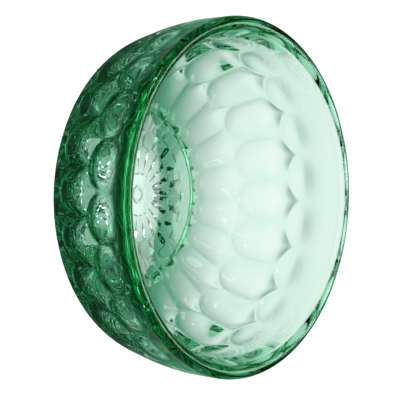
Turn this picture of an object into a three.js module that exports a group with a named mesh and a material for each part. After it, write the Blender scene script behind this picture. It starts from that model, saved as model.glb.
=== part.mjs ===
// A heavy pressed-glass powder jar, open at the top: one thick round bowl, smooth
// outside, with three rows of scale-shaped dimples pressed into the cavity and a petalled
// rosette pressed into the sole.  Millimetres, +Z up, the foot ring on z = 0.
import * as THREE from 'three';

// ---- overall sizes ----
const RIM_RADIUS = 55;          // outermost radius, just under the lip
const RIM_HEIGHT = 44;          // height of that outermost circle
const LIP_WALL = 4.6;           // wall thickness at the lip, rolled to a half circle
const SOLE_WALL = 7.7;          // from the foot ring up to the cavity floor
const FOOT_RADIUS = 30.6;
const FLOOR_RADIUS = 21;        // flat part of the cavity floor

// ---- shape of the wall between rim and foot: where it passes at each level ----
const OUTSIDE = [
  { drop: 0.85, radius: 0.727 },   // shares of rim height and rim radius
  { drop: 0.72, radius: 0.872 },
  { drop: 0.50, radius: 0.940 },
  { drop: 0.25, radius: 0.984 },
];
const INSIDE = [
  { drop: 0.182, radius: 0.958 },  // shares of cavity depth and mouth radius
  { drop: 0.455, radius: 0.922 },
  { drop: 0.667, radius: 0.857 },
  { drop: 0.848, radius: 0.753 },
  { drop: 0.962, radius: 0.600 },
  { drop: 0.988, radius: 0.546 },
];

// ---- the dimples in the cavity ----
const CELLS_AROUND = 20;
const CELL_ROWS = 3;
const CELL_DEPTH = 3.8;         // at the rim radius; in step with the radius further down
const FIRST_WAIST = 10.9;       // from the rim circle down to the widest line of the first row
const ROW_PITCH = 16.9;         // from row to row along the wall
const ARC_REACH = 6.0;          // from a widest line down to the rounded end
const FADE_START = 4;           // the dimples grow from nothing, from here down the wall
const FADE_LENGTH = 20;         // until they have their full depth

// ---- the rosette in the sole ----
const FOOT_RING = 4.4;          // flat width of the ring that the jar rests on
const ROSETTE_SINK = 0.6;       // of its plane above the foot ring
const PETAL_DEPTH = 1.2;
const TILE_DEPTH = 0.72;
const EYE_RADIUS = 6.6;
const PIP_RADIUS = 2.2;
const PIP_WIDTH = 0.8;
const PIP_DEPTH = 0.35;
const INNER_PETAL_END = 14.9;
const OUTER_PETAL_END = 20.4;
const STEP = 0.4;               // width of the step from one ring of petals to the next

// ---- fineness of the mesh ----
const FACETS_PER_CELL = 6;
const RINGS_PER_ROW = 6;
const WALL_STEPS = 8;
const LIP_STEPS = 4;

const MOUTH_RADIUS = RIM_RADIUS - LIP_WALL;
const CAVITY_DEPTH = RIM_HEIGHT - SOLE_WALL;
const ROSETTE_RADIUS = FOOT_RADIUS - FOOT_RING - ROSETTE_SINK;
const FACETS = CELLS_AROUND * FACETS_PER_CELL;
const CELL_ANGLE = 2 * Math.PI / CELLS_AROUND;

function smoothStep(edge0, edge1, x) {
  const t = Math.min(1, Math.max(0, (x - edge0) / (edge1 - edge0)));
  return t * t * (3 - 2 * t);
}

// Distance, in half cell widths, from an angle to the nearest cell centre of a row.
// Neighbouring rows stand half a cell apart.
function acrossCell(angle, row) {
  const turns = angle / CELL_ANGLE + (row % 2 ? 0 : 0.5);
  return 2 * Math.abs(turns - Math.round(turns));
}

// Share of the full depth at a point of the cavity wall: 0 on the ridges between cells.
// A cell ends below in an arc, and above against the arcs of the row over it.
function cellShare(along, angle) {
  let deepest = 0;
  for (let row = 0; row < CELL_ROWS; row += 1) {
    const waist = FIRST_WAIST + row * ROW_PITCH;
    const u = acrossCell(angle, row);
    const below = Math.max(0, (along - waist) / ARC_REACH);
    let share = 1 - u * u - below * below;
    if (row > 0) {
      const past = Math.max(0, (along - waist + ROW_PITCH) / ARC_REACH);
      const clear = past > 0 ? (1 - u) * (1 - u) + past * past - 1 : 0;
      share *= 1 - Math.exp(-Math.max(0, clear));
    }
    deepest = Math.max(deepest, share);
  }
  return deepest * smoothStep(FADE_START, FADE_START + FADE_LENGTH, along);
}

// Height of the rosette's surface: an eye with a fine pip, two rings of pointed petals
// and a ring of tiles, each petal hollowed along its middle.
function rosetteHeight(radius, angle) {
  if (radius < EYE_RADIUS) {
    return ROSETTE_SINK - (radius === PIP_RADIUS ? PIP_DEPTH : 0);
  }
  const ring = radius < INNER_PETAL_END ? 0 : radius < OUTER_PETAL_END ? 1 : 2;
  const hollow = 1 - acrossCell(angle, ring);
  return ROSETTE_SINK + (ring === 2 ? TILE_DEPTH : PETAL_DEPTH) * hollow;
}

function levels(list, radius, depth) {
  return list.map((level) => (
    new THREE.Vector2(level.radius * radius, RIM_HEIGHT - level.drop * depth)));
}

function soleStations() {
  const radii = [0, PIP_RADIUS - PIP_WIDTH, PIP_RADIUS, PIP_RADIUS + PIP_WIDTH,
    EYE_RADIUS - STEP, EYE_RADIUS, INNER_PETAL_END - STEP, INNER_PETAL_END,
    OUTER_PETAL_END - STEP, OUTER_PETAL_END, ROSETTE_RADIUS];
  const rosette = radii.map((r) => ({ part: 'rosette', point: new THREE.Vector2(r, 0) }));
  const edge = { part: 'foot', point: new THREE.Vector2(ROSETTE_RADIUS + ROSETTE_SINK, 0) };
  return [...rosette, edge];
}

function wallStations() {
  const curve = new THREE.SplineCurve([
    new THREE.Vector2(FOOT_RADIUS, 0),
    ...levels(OUTSIDE, RIM_RADIUS, RIM_HEIGHT),
    new THREE.Vector2(RIM_RADIUS, RIM_HEIGHT),
  ]);
  return curve.getSpacedPoints(WALL_STEPS).map((point) => ({ part: 'wall', point }));
}

function lipStations() {
  const roll = LIP_WALL / 2;
  const stations = [];
  for (let i = 1; i < LIP_STEPS; i += 1) {
    const a = Math.PI * i / LIP_STEPS;
    const r = RIM_RADIUS - roll + roll * Math.cos(a);
    stations.push({ part: 'lip', point: new THREE.Vector2(r, RIM_HEIGHT + roll * Math.sin(a)) });
  }
  return stations;
}

// Cavity wall from the rim circle down to the flat floor.  Each station knows its length
// down the wall and the direction that a dimple sinks in.
function cavityStations() {
  const curve = new THREE.SplineCurve([
    new THREE.Vector2(MOUTH_RADIUS, RIM_HEIGHT),
    ...levels(INSIDE, MOUTH_RADIUS, CAVITY_DEPTH),
    new THREE.Vector2(FLOOR_RADIUS, SOLE_WALL),
  ]);
  const length = curve.getLength();
  const ringGap = ROW_PITCH / RINGS_PER_ROW;
  const rings = Math.round(length / ringGap);
  const stations = [];
  for (let i = 0; i <= rings; i += 1) {
    const tangent = curve.getTangentAt(i / rings);
    stations.push({
      part: 'cavity',
      point: curve.getPointAt(i / rings),
      into: new THREE.Vector2(-tangent.y, tangent.x),
      along: length * i / rings,
    });
  }
  stations.push({ part: 'floor', point: new THREE.Vector2(0, SOLE_WALL) });
  return stations;
}

// Each square of the mesh is split along its inner diagonal, so that a ridge between two
// cells is an edge and both sides of a cell come out alike.
function foldAlongRidges(geometry, ringCount) {
  const position = geometry.attributes.position;
  const index = [];
  const radiusAt = (i) => Math.hypot(position.getX(i), position.getY(i));
  for (let facet = 0; facet < FACETS; facet += 1) {
    for (let j = 0; j < ringCount - 1; j += 1) {
      const a = facet * ringCount + j;
      const b = a + ringCount;
      if (radiusAt(a) + radiusAt(b + 1) < radiusAt(b) + radiusAt(a + 1)) {
        index.push(a, b, b + 1, a, b + 1, a + 1);
      } else {
        index.push(a, b, a + 1, b, b + 1, a + 1);
      }
    }
  }
  geometry.setIndex(index);
}

function bowlGeometry() {
  const stations = [...soleStations(), ...wallStations(), ...lipStations(), ...cavityStations()];
  const geometry = new THREE.LatheGeometry(stations.map((s) => s.point), FACETS);
  const position = geometry.attributes.position;
  for (let facet = 0; facet <= FACETS; facet += 1) {
    const angle = (facet % FACETS) * 2 * Math.PI / FACETS;
    stations.forEach((station, j) => {
      let { x: radius, y: height } = station.point;
      if (station.part === 'cavity') {
        const sink = CELL_DEPTH * cellShare(station.along, angle) * radius / MOUTH_RADIUS;
        radius += sink * station.into.x;
        height += sink * station.into.y;
      } else if (station.part === 'rosette') {
        height = rosetteHeight(radius, angle);
      }
      position.setXYZ(facet * stations.length + j,
        radius * Math.cos(angle), radius * Math.sin(angle), height);
    });
  }
  foldAlongRidges(geometry, stations.length);
  geometry.computeVertexNormals();
  return geometry;
}

function glass() {
  return new THREE.MeshStandardMaterial({ color: 0x4fae7f, roughness: 0.06, metalness: 0 });
}

const jar = new THREE.Group();
jar.name = 'powder_jar';
const bowl = new THREE.Mesh(bowlGeometry(), glass());
bowl.name = 'jar_bowl';
jar.add(bowl);

export default jar;
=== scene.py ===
"""Looks of a heavy pressed-glass powder jar: one thick round bowl of clear green glass,
smooth outside, with scale-shaped dimples in the cavity and a petalled rosette under the
sole."""

import math

import bpy
import numpy as np
from mathutils import Matrix, Vector


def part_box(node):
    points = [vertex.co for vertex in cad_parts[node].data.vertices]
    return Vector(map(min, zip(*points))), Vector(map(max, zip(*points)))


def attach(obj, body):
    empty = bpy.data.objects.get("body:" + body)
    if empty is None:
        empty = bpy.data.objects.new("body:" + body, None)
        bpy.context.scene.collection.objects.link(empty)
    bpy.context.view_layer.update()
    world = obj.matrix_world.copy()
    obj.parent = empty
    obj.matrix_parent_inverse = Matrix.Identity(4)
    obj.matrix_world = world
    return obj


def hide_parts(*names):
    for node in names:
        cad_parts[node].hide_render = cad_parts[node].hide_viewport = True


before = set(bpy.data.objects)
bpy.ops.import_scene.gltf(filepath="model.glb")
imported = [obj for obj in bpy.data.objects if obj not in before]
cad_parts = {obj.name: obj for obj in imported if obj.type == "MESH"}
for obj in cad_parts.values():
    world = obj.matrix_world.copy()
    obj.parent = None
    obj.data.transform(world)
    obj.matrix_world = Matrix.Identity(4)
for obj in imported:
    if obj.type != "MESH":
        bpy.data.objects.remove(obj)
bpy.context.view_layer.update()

# ---- sizes, in metres, hung on the CAD node's own box ----
LOW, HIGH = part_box("jar_bowl")
RIM_RADIUS = (HIGH.x - LOW.x) / 2
MM = RIM_RADIUS / 55.0
LIP_WALL = 4.6 * MM
RIM_HEIGHT = HIGH.z - LIP_WALL / 2
SOLE_WALL = 7.7 * MM
FOOT_RADIUS = 30.6 * MM
CAVITY_FLOOR = 21.0 * MM
CAVITY_DEPTH = RIM_HEIGHT - SOLE_WALL
MOUTH_RADIUS = RIM_RADIUS - LIP_WALL

# radius and drop below the rim circle, as shares of rim radius and rim height
OUTSIDE = ((0.727, 0.85), (0.872, 0.72), (0.94, 0.50), (0.984, 0.25))
# radius and drop, as shares of mouth radius and cavity depth
INSIDE = ((0.958, 0.182), (0.922, 0.455), (0.857, 0.667), (0.753, 0.848), (0.600, 0.962),
          (0.546, 0.988))

# ---- the dimples inside ----
CELLS_AROUND = 20
CELL_DEPTH = 3.8 * MM
ROWS = 3
FIRST_WAIST = 10.9 * MM         # from the rim circle down to the first row's widest line
ROW_PITCH = 16.9 * MM
ARC_REACH = 6.0 * MM            # from a widest line down to the rounded end
FADE_START = 4.0 * MM           # the dimples grow from nothing, from here down the wall
FADE_LENGTH = 20.0 * MM         # until they have their full depth

# ---- rosette under the sole ----
FOOT_RING = 4.4 * MM
ROSETTE_SINK = 0.6 * MM
ROSETTE_RADIUS = FOOT_RADIUS - FOOT_RING - ROSETTE_SINK
EYE_RADIUS = 6.6 * MM
PIP_RADIUS = 2.2 * MM
PIP_WIDTH = 0.35 * MM
PIP_RISE = 0.35 * MM
INNER_PETAL_END = 14.9 * MM
OUTER_PETAL_END = 20.4 * MM
PETAL_RELIEF = 1.2 * MM
TILE_SHARE = 0.6                # relief of the outer ring, as a share of the petals'

# ---- fineness ----
COLUMNS = CELLS_AROUND * 24
WALL_RINGS = 40
SOLE_RINGS = 90
LIP_RINGS = 14
CAVITY_RINGS = 150
FLOOR_RINGS = 4

# ---- the glass ----
GLASS_IOR = 1.5
GLASS_TINT = (0.12, 0.80, 0.50, 1.0)
TINT_DENSITY = 50.0             # per metre
POLISH_ROUGHNESS = 0.03         # at most
RIPPLE_SCALE = 60.0
RIPPLE_STRENGTH = 0.04
RIPPLE_HEIGHT = 0.0006

# ---- the floor and the room ----
# The camera sees both as white.  Every other ray sees the floor's glow, painted with pools of light
# and green-tinted shade, and the dark room.
FLOOR_HALF = 12.0
FLOOR_GAP = 0.0003              # below the foot
POOL_CENTRE = (0.0, 0.073, 0.0)     # painted pool of light behind the jar, long from side to side
POOL_SHAPE = (0.6, 1.0, 1.0)
POOL_CORE = 0.0
POOL_EDGE = 0.095
UNDER_CORE = 0.006                  # painted pool of light under the sole
UNDER_EDGE = 0.026
UNDER_LEVEL = 0.6
BESIDE_CENTRE = (0.115, 0.02, 0.0)  # painted pools of light at both sides
BESIDE_CORE = 0.01
BESIDE_EDGE = 0.06
BESIDE_LEVEL = 0.6
# strength of the floor's glow, which carries the painted light pools; the floor is no lamp
GLOW = 1.06
WHITE = (1.1, 1.1, 1.1, 1.0)
ROOM = (0.02, 0.024, 0.022, 1.0)    # the room round the jar, as the glass sees it

# ---- the view ----
VIEW_ELEVATION = math.radians(39.2)
VIEW_AZIMUTH = math.radians(-89.5)
VIEW_ROLL = math.radians(1.86)
VIEW_DISTANCE = 15.0 * RIM_RADIUS
LENS = 242.7
SENSOR = 36.0


def smooth_step(edge0, edge1, x):
    t = np.clip((x - edge0) / (edge1 - edge0), 0.0, 1.0)
    return t * t * (3.0 - 2.0 * t)


def across_cell(angle, row):
    """Distance in half cell widths to the nearest cell centre of a row."""
    turns = angle * CELLS_AROUND / (2.0 * math.pi) + (0.0 if row % 2 else 0.5)
    return 2.0 * np.abs(turns - np.round(turns))


def cell_depth(along, angle):
    """Depth of the dimples, from 0 on a ridge to about 1 in the middle of a cell."""
    deepest = np.zeros(np.broadcast(along, angle).shape)
    for row in range(ROWS):
        waist = FIRST_WAIST + row * ROW_PITCH
        u = across_cell(angle, row)
        below = np.maximum(0.0, (along - waist) / ARC_REACH)
        depth = 1.0 - u * u - below ** 2
        if row > 0:
            past = np.maximum(0.0, (along - waist + ROW_PITCH) / ARC_REACH)
            clear = np.where(past > 0.0, (1.0 - u) ** 2 + past ** 2 - 1.0, 0.0)
            depth = depth * (1.0 - np.exp(-np.maximum(0.0, clear)))
        deepest = np.maximum(deepest, depth)
    return deepest * smooth_step(FADE_START, FADE_START + FADE_LENGTH, along)


def catmull_rom(points, samples):
    """A smooth line through the points."""
    points = np.array(points, float)
    ends = np.vstack([2 * points[0] - points[1], points, 2 * points[-1] - points[-2]])
    out = []
    for i in range(1, len(ends) - 2):
        p0, p1, p2, p3 = ends[i - 1], ends[i], ends[i + 1], ends[i + 2]
        t = np.linspace(0.0, 1.0, samples, endpoint=False)[:, None]
        out.append(0.5 * (2 * p1 + (p2 - p0) * t + (2 * p0 - 5 * p1 + 4 * p2 - p3) * t ** 2
                          + (3 * p1 - p0 - 3 * p2 + p3) * t ** 3))
    out.append(points[-1:])
    return np.vstack(out)


def evenly(line, count):
    """The line resampled at equal lengths: points, unit outward normals, lengths."""
    step = np.hypot(*np.diff(line, axis=0).T)
    length = np.concatenate([[0.0], np.cumsum(step)])
    at = np.linspace(0.0, length[-1], count)
    points = np.stack([np.interp(at, length, line[:, k]) for k in (0, 1)], 1)
    tangent = np.gradient(points, axis=0)
    tangent /= np.linalg.norm(tangent, axis=1)[:, None]
    return points, np.stack([tangent[:, 1], -tangent[:, 0]], 1), at


def full(values, angle):
    return np.broadcast_to(values[:, None], (values.size, angle.size))


def sole_rings(angle):
    radius = np.append(np.linspace(0.0, ROSETTE_RADIUS + ROSETTE_SINK, SOLE_RINGS),
                       0.5 * (ROSETTE_RADIUS + ROSETTE_SINK + FOOT_RADIUS))[:, None]
    rise = np.zeros((radius.size, angle.size))
    edges = (EYE_RADIUS, INNER_PETAL_END, OUTER_PETAL_END, ROSETTE_RADIUS)
    for ring in range(3):
        inside = (radius >= edges[ring]) & (radius < edges[ring + 1])
        ridge = 1.0 - across_cell(angle, ring)[None, :]
        rise = np.where(inside, PETAL_RELIEF * ridge * (TILE_SHARE if ring == 2 else 1.0), rise)
    pip = np.exp(-((radius - PIP_RADIUS) / PIP_WIDTH) ** 2)
    sunk = smooth_step(ROSETTE_RADIUS + ROSETTE_SINK, ROSETTE_RADIUS, radius)
    height = (ROSETTE_SINK + rise - PIP_RISE * pip) * sunk
    return np.broadcast_to(radius, height.shape), height


def wall_rings(angle):
    stations = [(FOOT_RADIUS, 0.0)]
    for radius, drop in OUTSIDE:
        stations.append((radius * RIM_RADIUS, (1.0 - drop) * RIM_HEIGHT))
    stations.append((RIM_RADIUS, RIM_HEIGHT))
    points, _, _ = evenly(catmull_rom(stations, 60), WALL_RINGS)
    return full(points[:, 0], angle), full(points[:, 1], angle)


def lip_rings(angle):
    roll = LIP_WALL / 2
    a = np.linspace(0.0, math.pi, LIP_RINGS)[1:-1]
    radius = RIM_RADIUS - roll + roll * np.cos(a)
    height = RIM_HEIGHT + roll * np.sin(a)
    return full(radius, angle), full(height, angle)


def cavity_rings(angle):
    stations = [(MOUTH_RADIUS, RIM_HEIGHT)]
    for radius, drop in INSIDE:
        stations.append((radius * MOUTH_RADIUS, RIM_HEIGHT - drop * CAVITY_DEPTH))
    stations.append((CAVITY_FLOOR, SOLE_WALL))
    points, outward, along = evenly(catmull_rom(stations, 60), CAVITY_RINGS)
    depth = CELL_DEPTH * cell_depth(along[:, None], angle[None, :])
    depth = depth * points[:, :1] / MOUTH_RADIUS
    return points[:, :1] - depth * outward[:, :1], points[:, 1:] - depth * outward[:, 1:]


def floor_rings(angle):
    radius = np.linspace(CAVITY_FLOOR, 0.0, FLOOR_RINGS)[1:]
    return full(radius, angle), full(0.0 * radius + SOLE_WALL, angle)


def bowl_mesh():
    angle = np.arange(COLUMNS) * 2.0 * math.pi / COLUMNS
    radius, height = [np.vstack(part) for part in zip(
        sole_rings(angle), wall_rings(angle), lip_rings(angle), cavity_rings(angle),
        floor_rings(angle))]
    x = radius * np.cos(angle)
    y = radius * np.sin(angle)
    rings = len(radius)
    grid = np.stack([x, y, height], -1)[1:-1].reshape(-1, 3)
    bottom = len(grid)
    top = bottom + 1
    points = np.vstack([grid, [0, 0, height[0, 0]], [0, 0, height[-1, 0]]])
    inner = rings - 2
    faces = []
    nxt = np.roll(np.arange(COLUMNS), -1)
    for j in range(inner - 1):
        a = j * COLUMNS
        b = a + COLUMNS
        for i in range(COLUMNS):
            k = int(nxt[i])
            faces.append((a + i, a + k, b + k, b + i))
    last = (inner - 1) * COLUMNS
    for i in range(COLUMNS):
        k = int(nxt[i])
        faces.append((bottom, k, i))
        faces.append((top, last + i, last + k))
    mesh = bpy.data.meshes.new("glass_bowl")
    mesh.from_pydata(points.tolist(), [], faces)
    mesh.shade_smooth()
    mesh.validate()
    return mesh


def green_glass():
    material = bpy.data.materials.new("green_glass")
    material.use_nodes = True
    nodes = material.node_tree.nodes
    links = material.node_tree.links
    glass = nodes["Principled BSDF"]
    glass.inputs["Base Color"].default_value = (1.0, 1.0, 1.0, 1.0)
    glass.inputs["Transmission Weight"].default_value = 1.0
    glass.inputs["IOR"].default_value = GLASS_IOR
    ripple = nodes.new("ShaderNodeTexNoise")
    ripple.inputs["Scale"].default_value = RIPPLE_SCALE
    ripple.inputs["Detail"].default_value = 2.0
    place = nodes.new("ShaderNodeTexCoord")
    links.new(place.outputs["Object"], ripple.inputs["Vector"])
    bump = nodes.new("ShaderNodeBump")
    bump.inputs["Strength"].default_value = RIPPLE_STRENGTH
    bump.inputs["Distance"].default_value = RIPPLE_HEIGHT
    links.new(ripple.outputs["Fac"], bump.inputs["Height"])
    links.new(bump.outputs["Normal"], glass.inputs["Normal"])
    polish = nodes.new("ShaderNodeMapRange")
    polish.inputs["To Min"].default_value = 0.0
    polish.inputs["To Max"].default_value = POLISH_ROUGHNESS
    links.new(ripple.outputs["Fac"], polish.inputs["Value"])
    links.new(polish.outputs["Result"], glass.inputs["Roughness"])
    tint = nodes.new("ShaderNodeVolumeAbsorption")
    tint.inputs["Color"].default_value = GLASS_TINT
    tint.inputs["Density"].default_value = TINT_DENSITY
    links.new(tint.outputs["Volume"], nodes["Material Output"].inputs["Volume"])
    return material


class Nodes:
    """Short hand for a chain of shader nodes."""

    def __init__(self, tree):
        self.tree = tree

    def add(self, kind, inputs=(), **settings):
        node = self.tree.nodes.new(kind)
        for name, value in settings.items():
            setattr(node, name, value)
        for socket, value in dict(inputs).items():
            socket = self.socket(node, socket)
            if isinstance(value, bpy.types.NodeSocket):
                self.tree.links.new(value, socket)
            else:
                socket.default_value = value
        return node

    @staticmethod
    def socket(node, name):
        """The input with this name or place that is in use."""
        if isinstance(name, int):
            return node.inputs[name]
        return next(s for s in node.inputs if s.name == name and s.enabled)

    def math(self, operation, a, b):
        return self.add("ShaderNodeMath", {0: a, 1: b}, operation=operation).outputs[0]

    def smooth(self, value, start, end, low=0.0, high=1.0):
        node = self.add("ShaderNodeMapRange", {"Value": value, "From Min": start, "From Max": end,
                                               "To Min": low, "To Max": high},
                        interpolation_type="SMOOTHSTEP")
        return node.outputs["Result"]

    def distance(self, place, centre):
        node = self.add("ShaderNodeVectorMath", {0: place, 1: centre}, operation="DISTANCE")
        return node.outputs["Value"]


def floor_glow_painted_light():
    mesh = bpy.data.meshes.new("floor")
    corners = [(x * FLOOR_HALF, y * FLOOR_HALF, 0) for x, y in ((-1, -1), (1, -1), (1, 1), (-1, 1))]
    mesh.from_pydata(corners, [], [(0, 1, 2, 3)])
    floor = bpy.data.objects.new("floor", mesh)
    bpy.context.scene.collection.objects.link(floor)
    floor.location.z = -FLOOR_GAP
    material = bpy.data.materials.new("floor")
    material.use_nodes = True
    tree = Nodes(material.node_tree)
    place = tree.add("ShaderNodeTexCoord").outputs["Object"]
    # Painted pools of light behind, under and beside the jar, in the floor's glow
    wide = tree.add("ShaderNodeVectorMath", {0: place, 1: POOL_SHAPE}, operation="MULTIPLY")
    pool = tree.smooth(tree.distance(wide.outputs["Vector"], POOL_CENTRE), POOL_CORE, POOL_EDGE,
                       1.0, 0.0)
    under = tree.smooth(tree.distance(place, (0.0, 0.0, 0.0)), UNDER_CORE, UNDER_EDGE,
                        UNDER_LEVEL, 0.0)
    mirrored = tree.add("ShaderNodeVectorMath", {0: place}, operation="ABSOLUTE")
    beside = tree.smooth(tree.distance(mirrored.outputs["Vector"], BESIDE_CENTRE), BESIDE_CORE,
                         BESIDE_EDGE, BESIDE_LEVEL, 0.0)
    lit = tree.math("MAXIMUM", tree.math("MAXIMUM", pool, under), beside)
    # The ramp paints the glow from near-black green shade through green to near-white light
    ramp = tree.add("ShaderNodeValToRGB", {"Fac": lit})
    stops = ramp.color_ramp.elements
    stops[0].color = (0.003, 0.02, 0.010, 1.0)
    stops[1].color = (0.98, 0.98, 0.98, 1.0)
    stops.new(0.30).color = (0.12, 0.36, 0.23, 1.0)
    stops.new(0.55).color = (0.52, 0.60, 0.56, 1.0)
    stops.new(0.80).color = (0.86, 0.90, 0.88, 1.0)
    # The camera sees an even white glow; every other ray sees the painted light and shade
    seen = tree.add("ShaderNodeLightPath").outputs["Is Camera Ray"]
    light = tree.add("ShaderNodeMix", {"Factor": seen, "A": ramp.outputs["Color"],
                                       "B": WHITE}, data_type="RGBA")
    paint = tree.tree.nodes["Principled BSDF"]
    paint.inputs["Base Color"].default_value = (0.06, 0.06, 0.06, 1.0)
    paint.inputs["Roughness"].default_value = 0.8
    paint.inputs["Emission Strength"].default_value = GLOW
    tree.tree.links.new(next(o for o in light.outputs if o.enabled), paint.inputs["Emission Color"])
    floor.data.materials.append(material)


def studio_light():
    world = bpy.data.worlds.new("studio")
    world.use_nodes = True
    tree = Nodes(world.node_tree)
    seen = tree.add("ShaderNodeLightPath").outputs["Is Camera Ray"]
    light = tree.add("ShaderNodeMix", {"Factor": seen, "A": ROOM, "B": WHITE}, data_type="RGBA")
    background = world.node_tree.nodes["Background"]
    tree.tree.links.new(next(o for o in light.outputs if o.enabled), background.inputs["Color"])
    bpy.context.scene.world = world
    for name, place, size, power in (
            ("key", (0.0, 0.8, 1.0), 0.6, 4.5),
            ("fill", (-0.9, -0.2, 0.9), 0.3, 1.0)):
        data = bpy.data.lights.new(name, "AREA")
        data.size = size
        data.energy = power
        lamp = bpy.data.objects.new(name, data)
        lamp.location = place
        lamp.rotation_euler = (-Vector(place)).to_track_quat("-Z", "Y").to_euler()
        bpy.context.scene.collection.objects.link(lamp)


def camera():
    data = bpy.data.cameras.new("camera")
    data.lens = LENS
    data.sensor_width = SENSOR
    data.clip_end = 50.0
    cam = bpy.data.objects.new("camera", data)
    bpy.context.scene.collection.objects.link(cam)
    away = Vector((math.cos(VIEW_ELEVATION) * math.cos(VIEW_AZIMUTH),
                   math.cos(VIEW_ELEVATION) * math.sin(VIEW_AZIMUTH),
                   math.sin(VIEW_ELEVATION)))
    up = Vector((0, 0, 1))
    axis = (up - up.dot(away) * away).normalized()
    across = away.cross(axis)
    right = math.cos(VIEW_ROLL) * axis + math.sin(VIEW_ROLL) * across
    top = -math.sin(VIEW_ROLL) * axis + math.cos(VIEW_ROLL) * across
    middle = Vector((0, 0, RIM_HEIGHT - 0.3 * RIM_RADIUS))
    aim = middle + 0.02 * RIM_RADIUS * (right - top)
    turn = Matrix((right, top, away)).transposed()
    cam.matrix_world = Matrix.Translation(aim + VIEW_DISTANCE * away) @ turn.to_4x4()
    bpy.context.scene.camera = cam


def looks():
    scene = bpy.context.scene
    scene.view_settings.view_transform = "Standard"
    scene.cycles.max_bounces = 32
    scene.cycles.transmission_bounces = 32
    scene.cycles.glossy_bounces = 16
    scene.cycles.use_denoising = True


bowl = bpy.data.objects.new("glass_bowl", bowl_mesh())
bpy.context.scene.collection.objects.link(bowl)
bowl.data.materials.append(green_glass())
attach(bowl, "root")
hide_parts("jar_bowl")

floor_glow_painted_light()
studio_light()
camera()
looks()
